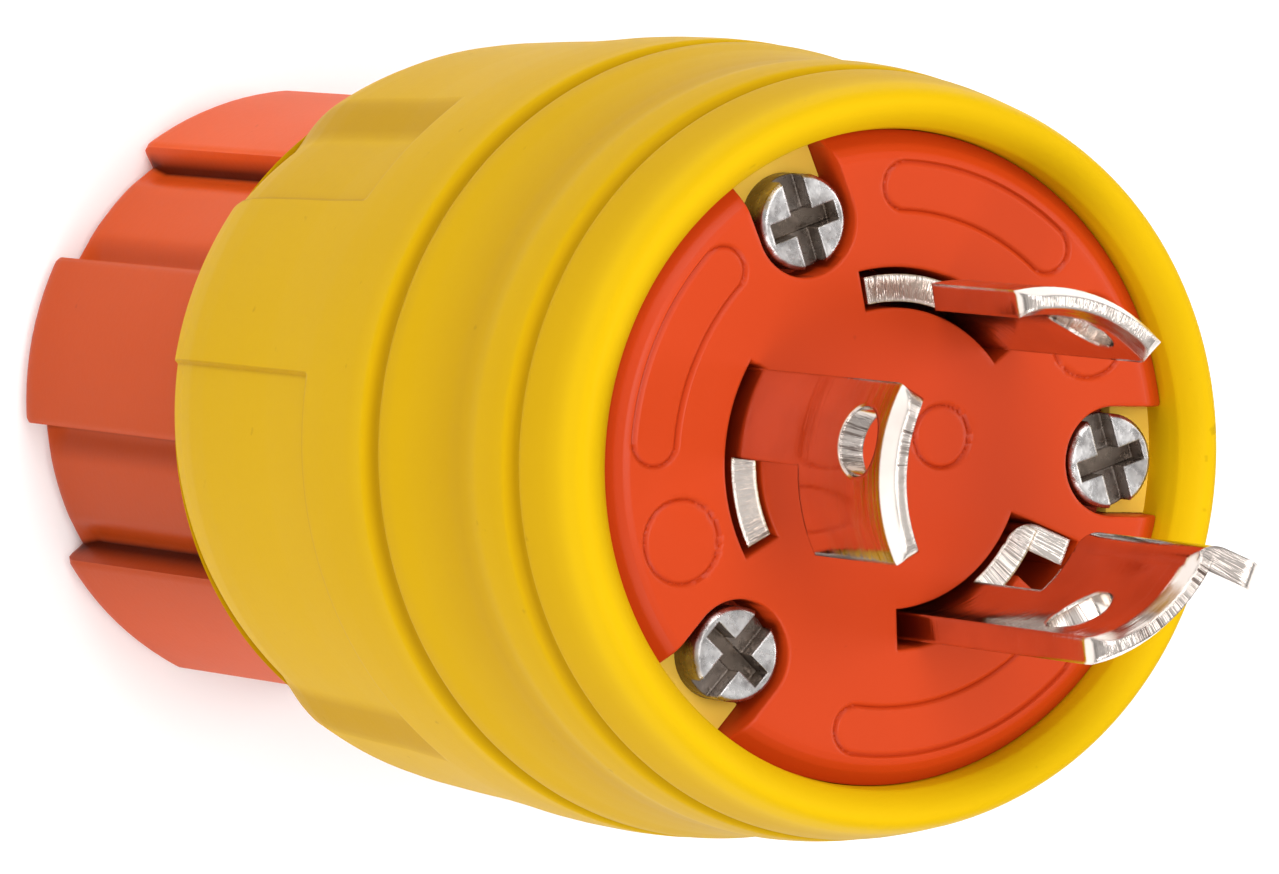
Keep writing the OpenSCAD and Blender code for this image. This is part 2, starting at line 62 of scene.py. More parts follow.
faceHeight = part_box("contact_carrier")[1][2] / mm    # the contact face, in millimetres
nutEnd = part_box("cord_nut")[0][2] / mm               # the nut's rear end, where its heights start
print("frame loaded, contact face at", round(faceHeight, 2), "mm")


# Quads between neighbours of an (n, m, 3) array of points in millimetres. wrapRows joins the
# last row to the first, wrapColumns does it for the columns. Edges bent past crease stay sharp.
def gridPiece(name, points, wrapRows=False, wrapColumns=False, crease=35):
    rows, columns = points.shape[:2]
    index = np.arange(rows * columns).reshape(rows, columns)
    if wrapRows:
        index = np.vstack([index, index[:1]])
    if wrapColumns:
        index = np.hstack([index, index[:, :1]])
    quads = np.stack([index[:-1, :-1], index[1:, :-1], index[1:, 1:], index[:-1, 1:]], axis=-1)
    mesh = bpy.data.meshes.new(name)
    mesh.from_pydata(points.reshape(-1, 3) * mm, [], quads.reshape(-1, 4).tolist())
    mesh.validate()
    mesh.shade_smooth()
    mesh.set_sharp_from_angle(angle=math.radians(crease))
    piece = bpy.data.objects.new(name, mesh)
    bpy.context.scene.collection.objects.link(piece)
    return piece


# Smallest gap in degrees between two angles, with its sign
def angleOff(degrees, middle):
    return np.mod(degrees - middle + 180.0, 360.0) - 180.0


# Radius, angle in degrees and height turned into x, y and z
def fromPolar(radius, degrees, height):
    radius, angle, height = np.broadcast_arrays(radius, np.radians(degrees), height)
    return np.stack([radius * np.cos(angle), radius * np.sin(angle), height], axis=-1)


# 0 below low, 1 above high, and a smooth S between them
def smoothStep(low, high, value):
    share = np.clip((value - low) / (high - low), 0, 1)
    return share * share * (3 - 2 * share)


# 1 at the end itself, falling along a quarter circle to 0 at the given reach from it
def roundedEnd(distance, reach):
    near = np.clip(1 - distance / reach, 0, 1)
    return 1 - np.sqrt(1 - near ** 2)


# A broken line sampled evenly along its length, then averaged under a bell curve, which rounds
# its corners. Beyond each end the line runs on as its own mirror image through the end point.
def softLine(corners, spacing, rounding):
    corners = np.asarray(corners, float)
    steps = np.hypot(*np.diff(corners, axis=0).T)
    along = np.concatenate([[0], np.cumsum(steps)])
    fine = np.linspace(0, along[-1], max(int(along[-1] / spacing), 2))
    line = np.stack([np.interp(fine, along, corners[:, k]) for k in (0, 1)], axis=-1)
    reach = max(int(3 * rounding / spacing), 1)      # the bell is cut off at three widths
    bell = np.exp(-0.5 * (np.arange(-reach, reach + 1) * spacing / rounding) ** 2)
    bell /= bell.sum()
    before, after = 2 * line[:1] - line[reach:0:-1], 2 * line[-1:] - line[-2:-reach - 2:-1]
    padded = np.concatenate([before, line, after])
    return np.stack([np.convolve(padded[:, k], bell, "valid") for k in (0, 1)], axis=-1)


# Painted shade: one number per vertex that its material reads, 1 for the plain colour and 0 for its deep,
# shaded tone
def paintShade(piece, values):
    layer = piece.data.attributes.new("paintedShade", "FLOAT", "POINT")
    layer.data.foreach_set("value", np.ascontiguousarray(values, dtype=np.float32).ravel())


# Points of a grid that fall together, as at a pole, are merged; then the piece joins its body
def finishPiece(piece, body, finish, slotName, *replaced):
    sameSpot = 1e-7          # metres
    welded = bmesh.new()
    welded.from_mesh(piece.data)
    bmesh.ops.remove_doubles(welded, verts=welded.verts[:], dist=sameSpot)
    welded.to_mesh(piece.data)
    welded.free()
    piece.data.materials.clear()
    piece.data.materials.append(finishes[finish])
    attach(piece, body)
    if replaced:
        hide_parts(*replaced)


def newMaterial(name):
    material = bpy.data.materials.new(name)
    material.use_nodes = True
    tree = material.node_tree
    return material, tree, tree.nodes["Principled BSDF"]


# A setting is an input of the node where it has one of that name, and otherwise a property
def addNode(tree, kind, **settings):
    node = tree.nodes.new(kind)
    for key, value in settings.items():
        if key in node.inputs:
            node.inputs[key].default_value = value
        else:
            setattr(node, key, value)
    return node


# Turns values between the ends of fromRange into values between the ends of toRange
def rangeNode(tree, fromRange=(0, 1), toRange=(0, 1)):
    node = addNode(tree, "ShaderNodeMapRange")
    for socket, value in zip(("From Min", "From Max", "To Min", "To Max"), (*fromRange, *toRange)):
        node.inputs[socket].default_value = value
    return node


# Blends two colours; one that is left out is linked by the caller
def blendNode(tree, first=None, second=None, **settings):
    node = addNode(tree, "ShaderNodeMixRGB", **settings)
    for socket, colour in (("Color1", first), ("Color2", second)):
        if colour:
            node.inputs[socket].default_value = (*colour, 1)
    return node


plasticSkin = {
    "speckEdge": 0.06,               # how softly a speck ends, in the noise that makes it
    "roughness": (-0.05, 0.07),      # how far the roughness drifts to either side
    "grainHeight": 0.00004,          # of the pebbled skin, in metres
}
plasticLooks = {
    # deep is the colour of painted shade; a piece's painted shade numbers fade its colour towards it
    "yellow": dict(colour=(0.67, 0.415, 0.003), drift=(0.64, 0.39, 0.003), driftScale=70,
                   speckScale=900, speckFrom=0.74, speckDark=0.8, roughness=0.42,
                   grainScale=2600, grain=0.22, specular=0.02, deep=(0.25, 0.105, 0.001)),
    # a lighter copy of the yellow for the ears: painted light in their shaded notches
    "paintedLightYellow": dict(colour=(0.98, 0.67, 0.10), drift=(0.93, 0.62, 0.08), driftScale=70,
                       speckScale=900, speckFrom=0.74, speckDark=0.8, roughness=0.42,
                       grainScale=2600, grain=0.22, specular=0.04, deep=(0.29, 0.125, 0.001)),
    "orange": dict(colour=(0.53, 0.046, 0.005), drift=(0.49, 0.041, 0.004), driftScale=60,
                   speckScale=900, speckFrom=0.76, speckDark=0.85, roughness=0.36,
                   grainScale=2400, grain=0.15, specular=0.17, deep=(0.22, 0.010, 0.004)),
    "nutOrange": dict(colour=(0.68, 0.083, 0.006), drift=(0.63, 0.075, 0.005), driftScale=60,
                      speckScale=900, speckFrom=0.76, speckDark=0.85, roughness=0.42,
                      grainScale=2400, grain=0.2, specular=0.07, deep=(0.045, 0.004, 0.001)),
    "black": dict(colour=(0.016, 0.016, 0.017), drift=(0.024, 0.024, 0.025), driftScale=80,
                  speckScale=700, speckFrom=0.8, speckDark=0.9, roughness=0.55,
                  grainScale=1800, grain=0.3, specular=0.4),
    "nylon": dict(colour=(0.72, 0.69, 0.58), drift=(0.66, 0.63, 0.52), driftScale=70,
                  speckScale=800, speckFrom=0.8, speckDark=0.9, roughness=0.42,
                  grainScale=1500, grain=0.2, specular=0.45),
}


# Moulded plastic: a slow drift of colour, fine specks, and a faintly pebbled skin. With a deep tone, the
# piece's own painted shade number fades the colour between that shaded tone and the plain colour.
def mouldedPlastic(name, look):
    material, tree, shader = newMaterial(name)
    link = tree.links.new
    place = addNode(tree, "ShaderNodeTexCoord")
    drift = addNode(tree, "ShaderNodeTexNoise", Scale=look["driftScale"], Detail=3.0)
    specks = addNode(tree, "ShaderNodeTexNoise", Scale=look["speckScale"], Detail=2.0)
    grain = addNode(tree, "ShaderNodeTexNoise", Scale=look["grainScale"], Detail=2.0)
    for texture in (drift, specks, grain):
        link(place.outputs["Object"], texture.inputs["Vector"])

    drifted = blendNode(tree, look["colour"], look["drift"])
    speckRamp = addNode(tree, "ShaderNodeValToRGB")
    plain, dark = speckRamp.color_ramp.elements
    plain.position = look["speckFrom"]
    dark.position = look["speckFrom"] + plasticSkin["speckEdge"]
    plain.color, dark.color = (1, 1, 1, 1), (look["speckDark"],) * 3 + (1,)
    speckled = blendNode(tree, blend_type="MULTIPLY", Fac=1.0)
    link(drift.outputs["Fac"], drifted.inputs["Fac"])
    link(specks.outputs["Fac"], speckRamp.inputs["Fac"])
    link(drifted.outputs["Color"], speckled.inputs["Color1"])
    link(speckRamp.outputs["Color"], speckled.inputs["Color2"])
    colour = speckled.outputs["Color"]
    # painted shade: the piece's numbers darken the colour towards the deep tone
    if "deep" in look:
        paintedShade = addNode(tree, "ShaderNodeAttribute", attribute_name="paintedShade")
        shadedColour = blendNode(tree, look["deep"])
        link(paintedShade.outputs["Fac"], shadedColour.inputs["Fac"])
        link(colour, shadedColour.inputs["Color2"])
        colour = shadedColour.outputs["Color"]
    link(colour, shader.inputs["Base Color"])

    rough = rangeNode(tree, toRange=[look["roughness"] + swing for swing in plasticSkin["roughness"]])
    bump = addNode(tree, "ShaderNodeBump", Strength=look["grain"], Distance=plasticSkin["grainHeight"])
    link(drift.outputs["Fac"], rough.inputs["Value"])
    link(rough.outputs["Result"], shader.inputs["Roughness"])
    link(grain.outputs["Fac"], bump.inputs["Height"])
    link(bump.outputs["Normal"], shader.inputs["Normal"])
    shader.inputs["Specular IOR Level"].default_value = look["specular"]
    return material


metalSkin = {
    "patches": (0.4, 0.62),          # cloud noise, from bright metal to a dull patch
    "scratches": (0.3, 0.7),         # scratch noise, from the smoothest to the roughest
    "roughness": (0.6, 1.6),         # and the shares of the look's roughness there
    "dentHeight": 0.00005,           # metres
    "sheared": (0.5, 0.8),           # how far a face looks up or down, from plain to sheared
    "pits": (0.49, 0.4),             # streak noise, from no pit to a full one
}
metalLooks = {
    # edge is the rounding seen at edges, in metres, and torn the height of the streaks, in millimetres
    "nickel": dict(colour=(0.77, 0.69, 0.63), dull=(0.65, 0.57, 0.52), roughness=0.10,
                   cloudScale=250, scratchScale=(300, 300, 2600), dents=0.2, edge=0.0003,
                   torn=0.065, streakScale=(28, 190, 60), pit=(0.17, 0.12, 0.10), lean=0.045),
    # two depths below the contact face: dark with painted shade and a brown tarnish at the first, clean
    # at the second
    "screwZinc": dict(colour=(0.66, 0.64, 0.63), dull=(0.36, 0.34, 0.33), roughness=0.26,
                      cloudScale=900, scratchScale=(1600, 1600, 1600), dents=0.9, edge=0.00016,
                      shadeAndTarnish=(1.5, 0.3), shadeAndStain=(0.15, 0.115, 0.09)),
    "zinc": dict(colour=(0.62, 0.60, 0.56), dull=(0.42, 0.41, 0.39), roughness=0.30,
                 cloudScale=600, scratchScale=(1400, 1400, 1400), dents=0.8, edge=0.0001),
    "brass": dict(colour=(0.78, 0.56, 0.24), dull=(0.64, 0.44, 0.18), roughness=0.25,
                  cloudScale=400, scratchScale=(900, 900, 900), dents=0.4, edge=0.0001),
    "green": dict(colour=(0.05, 0.28, 0.09), dull=(0.03, 0.20, 0.06), roughness=0.3,
                  cloudScale=400, scratchScale=(900, 900, 900), dents=0.4, edge=0.0001),
}


# Streaks for sheared edges: noise that is stretched by the angle about z, by x plus y, and by z
def streakNoise(tree, place, streakScale):
    link = tree.links.new
    where = addNode(tree, "ShaderNodeSeparateXYZ")
    around = addNode(tree, "ShaderNodeMath", operation="ARCTAN2")
    away = addNode(tree, "ShaderNodeMath", operation="ADD")
    turned = addNode(tree, "ShaderNodeCombineXYZ")
    stretch = addNode(tree, "ShaderNodeMapping", Scale=streakScale)
    streaks = addNode(tree, "ShaderNodeTexNoise", Scale=1.0, Detail=4.0, Roughness=0.75)
    link(place.outputs["Object"], where.inputs["Vector"])
    for number, axis in enumerate("YX"):
        link(where.outputs[axis], around.inputs[number])
        link(where.outputs[axis], away.inputs[number])
    link(around.outputs["Value"], turned.inputs["X"])
    link(away.outputs["Value"], turned.inputs["Y"])
    link(where.outputs["Z"], turned.inputs["Z"])
    link(turned.outputs["Vector"], stretch.inputs["Vector"])
    link(stretch.outputs["Vector"], streaks.inputs["Vector"])
    return streaks.outputs["Fac"]


# Multiplies two outputs
def timesNode(tree, first, second):
    node = addNode(tree, "ShaderNodeMath", operation="MULTIPLY")
    tree.links.new(first, node.inputs[0])
    tree.links.new(second, node.inputs[1])
    return node.outputs["Value"]


# Where a sheet was sheared, its up and down faces are streaked, and pitted in the dull patches.
# All its faces lean a little downward, so that they mirror what lies below. Returns the new
# colour and normal.
def shearedFaces(tree, look, place, patches, colour, normal):
    link = tree.links.new
    surface = addNode(tree, "ShaderNodeNewGeometry")
    split = addNode(tree, "ShaderNodeSeparateXYZ")
    upDown = addNode(tree, "ShaderNodeMath", operation="ABSOLUTE")
    sheared = rangeNode(tree, metalSkin["sheared"])
    link(surface.outputs["Normal"], split.inputs["Vector"])
    link(split.outputs["Z"], upDown.inputs[0])
    link(upDown.outputs["Value"], sheared.inputs["Value"])
    streaks = streakNoise(tree, place, look["streakScale"])

    lean = addNode(tree, "ShaderNodeVectorMath", operation="ADD")
    lean.inputs[1].default_value = (0, 0, -look["lean"])
    unit = addNode(tree, "ShaderNodeVectorMath", operation="NORMALIZE")
    tear = addNode(tree, "ShaderNodeBump", Strength=1.0, Distance=look["torn"] * mm)
    link(normal, lean.inputs[0])
    link(lean.outputs["Vector"], unit.inputs[0])
    link(unit.outputs["Vector"], tear.inputs["Normal"])
    link(timesNode(tree, streaks, sheared.outputs["Result"]), tear.inputs["Height"])

    pits = rangeNode(tree, metalSkin["pits"])
    pitted = blendNode(tree, second=look["pit"])
    link(streaks, pits.inputs["Value"])
    pitsThere = timesNode(tree, pits.outputs["Result"], sheared.outputs["Result"])
    link(timesNode(tree, pitsThere, patches.outputs["Result"]), pitted.inputs["Fac"])
    link(colour, pitted.inputs["Color1"])
    return pitted.outputs["Color"], tear.outputs["Normal"]


# The metal is darkened deep down by painted shade and a brown tarnish, and clean above, with an even
# change between two depths
def shadedAndTarnished(tree, look, place, colour):
    deep, clean = [(faceHeight - depth) * mm for depth in look["shadeAndTarnish"]]
    height = addNode(tree, "ShaderNodeSeparateXYZ")
    cleanness = rangeNode(tree, (deep, clean))
    shadedAndStained = blendNode(tree, look["shadeAndStain"])
    tree.links.new(place.outputs["Object"], height.inputs["Vector"])
    tree.links.new(height.outputs["Z"], cleanness.inputs["Value"])
    tree.links.new(cleanness.outputs["Result"], shadedAndStained.inputs["Fac"])
    tree.links.new(colour, shadedAndStained.inputs["Color2"])
    return shadedAndStained.outputs["Color"]


# Plated or bare metal: bright with dull patches, finely scratched, its edges rounded in the shading.
# Looks with torn add sheared faces, and looks with tarnish add depths darkened by painted shade and a
# brown tarnish.
def workedMetal(name, look):
    material, tree, shader = newMaterial(name)
    link = tree.links.new
    place = addNode(tree, "ShaderNodeTexCoord")
    cloud = addNode(tree, "ShaderNodeTexNoise", Scale=look["cloudScale"], Detail=4.0)
    patches = rangeNode(tree, metalSkin["patches"])
    tint = blendNode(tree, look["colour"], look["dull"])
    link(place.outputs["Object"], cloud.inputs["Vector"])
    link(cloud.outputs["Fac"], patches.inputs["Value"])
    link(patches.outputs["Result"], tint.inputs["Fac"])

    stretch = addNode(tree, "ShaderNodeMapping", Scale=look["scratchScale"])
    scratch = addNode(tree, "ShaderNodeTexNoise", Scale=1.0, Detail=3.0)
    rough = rangeNode(tree, metalSkin["scratches"],
                      [look["roughness"] * share for share in metalSkin["roughness"]])
    edge = addNode(tree, "ShaderNodeBevel", samples=6, Radius=look["edge"])
    bump = addNode(tree, "ShaderNodeBump", Strength=look["dents"], Distance=metalSkin["dentHeight"])
    link(place.outputs["Object"], stretch.inputs["Vector"])
    link(stretch.outputs["Vector"], scratch.inputs["Vector"])
    link(scratch.outputs["Fac"], rough.inputs["Value"])
    link(rough.outputs["Result"], shader.inputs["Roughness"])
    link(scratch.outputs["Fac"], bump.inputs["Height"])
    link(edge.outputs["Normal"], bump.inputs["Normal"])

    colour, normal = tint.outputs["Color"], bump.outputs["Normal"]
    if "torn" in look:
        colour, normal = shearedFaces(tree, look, place, patches, colour, normal)
    # painted shade with a brown tarnish deep in the screws' notches
    if "shadeAndTarnish" in look:
        colour = shadedAndTarnished(tree, look, place, colour)
    link(colour, shader.inputs["Base Color"])
    link(normal, shader.inputs["Normal"])
    shader.inputs["Metallic"].default_value = 1.0
    return material


finishes = {name: mouldedPlastic(name + "Plastic", look) for name, look in plasticLooks.items()}
finishes.update({name: workedMetal(name + "Metal", look) for name, look in metalLooks.items()})
print("materials made:", len(finishes))


# Yellow body with its rim, grooves, waist, grip pockets, rear skirt and threaded neck
bodyShape = {
    # depth below the face and radius, from the rim's inner lip to the rear edge
    "outline": [(-0.3, 16.98), (-0.75, 17.3), (-1.12, 17.75), (-1.28, 18.25), (-1.22, 18.62),
                (-0.86, 18.92), (0.0, 19.2), (1.9, 19.57), (3.1, 19.77), (3.65, 19.82), (4.05, 19.4),
                (4.5, 19.4), (4.95, 20.0), (6.2, 20.13), (7.5, 20.2), (8.6, 20.09), (10.6, 20.1),
                (12.5, 20.26), (14.4, 20.50), (15.8, 20.78), (16.85, 20.86), (17.4, 20.38),
                (18.05, 20.38), (18.5, 20.96), (20.2, 21.0), (23.0, 20.97), (25.0, 20.89),
                (26.9, 20.75), (30.7, 20.52), (34.6, 20.39), (38.4, 20.22), (40.3, 20.06),
                (42.0, 19.72), (43.3, 19.3), (44.3, 18.9)],
    "spacing": 0.2, "softness": 0.14,        # between its points, and how widely its corners are rounded
    # the same for the inside: skirt, threaded neck, bore, and the rim's inner wall
    "inside": [(44.32, 18.6), (44.32, 17.42), (39.8, 17.42), (39.8, 12.7), (57.0, 12.7), (58.7, 11.7),
               (58.7, 10.2), (41.9, 10.2), (41.9, 7.0), (38.2, 7.0), (35.7, 13.6), (9.2, 13.6),
               (9.2, 16.85), (0.55, 16.85), (0.5, 16.86), (0.1, 16.9), (-0.2, 16.95)],
    # first edge, deepest angle and end of the ramp in degrees, and the top's depth below the face
    "pockets": [(171.5, 228.0, 237.0, 25.3), (144.5, 131.0, 122.0, 26.3)],
    "step": 0.2, "depth": 0.66,              # depth of a pocket at its first edge, and at its deepest
    "edgeTurn": 0.45, "rampLead": 0.5,       # degrees of drop at the edge, and of ramp before the deepest
    "pocketEdge": 0.35,                      # length over which a pocket's top drops in
    "turnStep": 1.25,                        # degrees between the grid's lines, with more at the edges
    "edgeLines": (-0.4, -0.1, 0.1, 0.25, 0.5),
    # painted shade by depth below the face: darker along the sides than at the rim, and darker still in
    # the grooves and the hollow waist
    "paintedShades": [(-1.3, 1.00), (-0.1, 0.98), (0.7, 0.80), (1.6, 0.69), (3.2, 0.64), (3.7, 0.62),
              (4.1, 0.52), (4.55, 0.48), (4.95, 0.74), (6, 0.70), (7.6, 0.73), (8.4, 0.63), (9.6, 0.54),
              (10.6, 0.57), (12.5, 0.64), (14, 0.69), (15.7, 0.70), (16.8, 0.62), (17.35, 0.48),
              (18.05, 0.40), (18.4, 0.72), (18.7, 0.80), (20, 0.71), (30, 0.73), (40, 0.70),
              (42, 0.76), (44, 0.86)],
    "steepShade": 0.34,                       # painted shade: how far a pocket's ramp and walls darken
    "rampSlope": (0.06, 0.2),                # from flat to steep around the turn, and along the body
    "topSlope": (0.15, 0.6),
    "gripRadius": 20.5,                      # radius at which those slopes are taken
    "leastStride": 0.05,                     # and the least distance between two points along the body
}


# How far the surface is sunk by the grip pockets, for an angle and a depth below the face.
# A pocket drops in at its first edge, deepens evenly with the angle, and a ramp leads out.
# The set repeats after half a turn.
def pocketDepth(degrees, drop):
    shape, ahead = bodyShape, 20             # angles count from this far ahead of a pocket's first edge
    sunk = 0
    for first, deep, last, top in shape["pockets"]:
        way = np.sign(deep - first)
        along = np.mod(way * (degrees - first) + ahead, 180) - ahead
        span, end = abs(deep - first), abs(last - first)
        floor = shape["step"] + (shape["depth"] - shape["step"]) * np.clip(along / span, 0, 1)
        floor = floor * smoothStep(0, shape["edgeTurn"], along)
        floor = floor * (1 - smoothStep(span - shape["rampLead"], end, along))
        sunk = np.maximum(sunk, floor * smoothStep(top, top + shape["pocketEdge"], drop))
    return sunk


# How steeply the pockets' floors fall: 0 where they are even, 1 on a ramp or a wall. The fall
# between neighbours is divided by their distance, around the turn and along the profile.
def pocketSteepness(sunk, degrees, profile):
    shape = bodyShape
    around = np.abs(np.gradient(sunk, axis=1) / np.gradient(np.radians(degrees) * shape["gripRadius"]))
    stride = np.maximum(np.hypot(*np.gradient(profile, axis=0).T), shape["leastStride"])
    along = np.abs(np.gradient(sunk, axis=0) / stride[:, None])
    return np.maximum(smoothStep(*shape["rampSlope"], around), smoothStep(*shape["topSlope"], along))


# The body is one closed profile turned about z: at each angle its points lie at the profile's
# radius less the pockets' depth, and at its depth below the face.
def makeBody():
    shape = bodyShape
    outer = softLine(shape["outline"], shape["spacing"], shape["softness"])
    profile = np.concatenate([outer, shape["inside"]])
    ends = np.array([(first, last) for first, _, last, _ in shape["pockets"]]).ravel()
    ends = np.concatenate([ends, ends + 180])
    degrees = np.unique(np.concatenate([np.arange(0, 360, shape["turnStep"])] +
                                       [np.mod(ends + beside, 360) for beside in shape["edgeLines"]]))
    drop, radius = profile[:, :1], profile[:, 1:]
    sunk = np.zeros((len(profile), len(degrees)))
    sunk[:len(outer)] = pocketDepth(degrees[None, :], drop[:len(outer)])
    points = fromPolar(radius - sunk, degrees[None, :], faceHeight - drop)
    body = gridPiece("bodyShell", points, True, True)
    # painted shade: darker in the grooves, along the sides, and on the pockets' ramps and walls; the
    # inside stays plain
    paintedTone = np.interp(drop + 0 * degrees, *np.array(shape["paintedShades"]).T)
    paintedTone[len(outer):] = 1
    paintShade(body, paintedTone * (1 - shape["steepShade"] * pocketSteepness(sunk, degrees, profile)))
    finishPiece(body, "plug", "yellow", "body", "housing")
    print("body:", len(body.data.polygons), "faces")


makeBody()

screwAngles = (114.2, -0.6, 229.0)           # degrees about z
# Ears of the body behind the screws
earShape = {
    "circle": 13.2, "wall": 16.98,           # the screws' circle, and the body's inner wall
    "from": 1.15, "clear": 2.28,             # inner end beyond the screw's middle, and its clear radius
    "half": 2.77,                            # half width
    "drop": 2.5, "foot": 7.9,                # depth of top and bottom below the face
    "edge": 0.15, "edgeMiddle": 0.3,         # rounding of the top's inner edge, and its middle's share
    "slices": 41, "capGap": 0.001,
}


# Seats for the screw heads: one block per screw between the head and the wall. Each slice
# across y is a closed loop in x and z, whose inner end keeps clear of the circle at the screw.
# A last slice at each end has shrunk to a point.
def makeEars():
    shape = earShape
    half, gap = shape["half"], shape["capGap"]
    y = np.concatenate([[-half + gap], np.linspace(-half, half, shape["slices"]), [half - gap]])
    inner = np.maximum(shape["from"], np.sqrt(np.clip(shape["clear"] ** 2 - y ** 2, 0, None)))
    outer = np.sqrt(shape["wall"] ** 2 - y ** 2) - shape["circle"]
    top, low = faceHeight - shape["drop"], faceHeight - shape["foot"]
    soft, middle = shape["edge"], shape["edgeMiddle"] * shape["edge"]
    # share of the way out, shift and height of each point of the loop
    loop = [(0, 0, low), (0, 0, top - soft), (0, middle, top - middle), (0, soft, top),
            (0.5, 0, top), (1, 0, top), (1, 0, low)]
    x = np.stack([inner + share * (outer - inner) + shift for share, shift, _ in loop], axis=1)
    z = np.stack([0 * y + height for _, _, height in loop], axis=1)
    slab = np.stack([x + shape["circle"], np.repeat(y[:, None], len(loop), axis=1), z], axis=-1)
    slab[0], slab[-1] = slab[0].mean(axis=0), slab[-1].mean(axis=0)
    slab[0, :, 1], slab[-1, :, 1] = -half, half
    for number, degrees in enumerate(screwAngles):
        turn = np.array(Matrix.Rotation(math.radians(degrees), 3, "Z"))
        ear = gridPiece("screwEar%d" % (number + 1), slab[::-1] @ turn.T, False, True)
        paintShade(ear, np.ones(slab.shape[:2]))
        # painted light: the ears take the lighter copy of the yellow, as if lit inside their shaded
        # notches
        finishPiece(ear, "plug", "paintedLightYellow", "body")
    print("ears:", len(screwAngles))


makeEars()

# Orange contact face with its slots, screw notches and engraved pads
faceShape = {
    "radius": 16.8, "backDrop": 7.98,        # backDrop, slotDepth and seats are depths below the face
    # radius and drop, from the flat face down its edge
    "bevel": [(0.0, 0.0), (15.1, 0.0), (15.35, 0.02), (15.7, 0.14), (16.1, 0.42), (16.55, 0.84),
              (16.8, 1.1)],
    "edgeRound": 0.17,                       # at the edges of notches and slots
    "slots": [(39.8, 103.3), (149.3, 210.9), (273.8, 338.9)],
    "slotIn": 7.72, "slotOut": 9.80, "slotDepth": 7.3,
    # the ground slot's arm for the flange, which starts legIn out from the slot's inner edge
    "leg": (322.0, 339.2), "legIn": 1, "legOut": 12.0,
    "screwCircle": 13.2, "notch": 2.83,      # the notch is open towards the rim
    "seat": 3.05, "seatUnderEar": 3.6, "earFrom": 1.0,
    "arches": [(50.6, 88.6), (137.0, 176.5), (263.0, 314.0)],
    "archRadius": 13.95, "archHalf": 1.25,
    "rounds": [(12.9, 199.0, 2.15), (13.1, 28.8, 2.15), (3.1, 21.8, 1.6)],     # ring, angle and size
    "line": 0.10, "lineDepth": 0.2, "padSunk": 0.05, "padEdge": (-0.15, 0.02),
    "lineShade": 0.45, "lineFrom": 0.3,       # painted shade in an engraved line: how dark it is, and from what share of depth
    "middleShade": 0.14, "middle": (5, 12),   # painted shade near the blades: how much darker the middle is, and the radii where it fades
    "openingShade": 0.55, "inside": -0.008,   # painted shade inside an opening, where the gap is below this
}
# Where the lines of the face's grid run: angles in degrees, radii and offsets in millimetres
faceGrid = {
    "turnStep": 1.15, "ringStep": 0.4,       # between plain lines
    "rim": (-0.16, -0.09, -0.03, 0.0),       # just outside an opening's edge
    "rimIn": 0.03, "slotEndIn": 0.15,        # and inside it, on a ring and at a slot's end
    "notchTurn": 12.4, "notchZone": 16.0,    # half angle of the lines along a notch, and of all it moves
    "notchRim": 6, "notchIn": (0.12, 1),     # degrees per millimetre of rim there, and inside lines
    "leastHalf": 0.6, "notchStart": (0.4, 0.06, 7),     # half angle and rings just ahead of a notch
    "notchArc": 7.5,                         # degrees of the notch's circle between rings
    "fineStep": 0.42, "archOut": 6.2, "archIn": 0.3, "roundHalf": 10,          # about the engraved lines
    "engravedRings": (12.4, 15.5, 0.105), "bevelRings": (15.6, 10),
    "hub": 0.05, "hubRings": (5, 34), "ringsFrom": 5.3,
    "sameLine": 0.03, "sameRing": 0.012,     # closer ones are left out
}


# Half angle of a screw notch at a radius: along its circle first, then along its parallel
# sides. Ahead of the notch it narrows from the full angle to the least.
def notchHalf(radius):
    shape, grid = faceShape, faceGrid
    ring, notch = shape["screwCircle"], shape["notch"]
    cosine = (radius ** 2 + ring ** 2 - notch ** 2) / (2 * radius * ring)
    circle = np.degrees(np.arccos(np.clip(cosine, -1, 1)))
    sides = np.degrees(np.arcsin(np.clip(notch / radius, -1, 1)))
    half = np.where(radius < math.hypot(ring, notch), circle, sides)
    start = ring - notch
    far, near, _ = grid["notchStart"]
    narrowing = np.interp(radius, [start - far, start - near], [grid["notchTurn"], grid["leastHalf"]])
    return np.where(radius < start, narrowing, np.maximum(half, grid["leastHalf"]))


# The grid's angular lines, squeezed or spread so that two of them run along each notch's edge
def bendLines(lines, radius):
    degrees = lines + 0 * radius
    half = notchHalf(radius)
    full, zone = faceGrid["notchTurn"], faceGrid["notchZone"]
    for middle in screwAngles:
        off = angleOff(lines, middle)
        near = off * half / full
        far = np.sign(off) * (half + (np.abs(off) - full) * (zone - half) / (zone - full))
        bent = np.where(np.abs(off) <= full, near, far)
        degrees = np.where(np.abs(off) < zone, middle + bent, degrees)
    return degrees


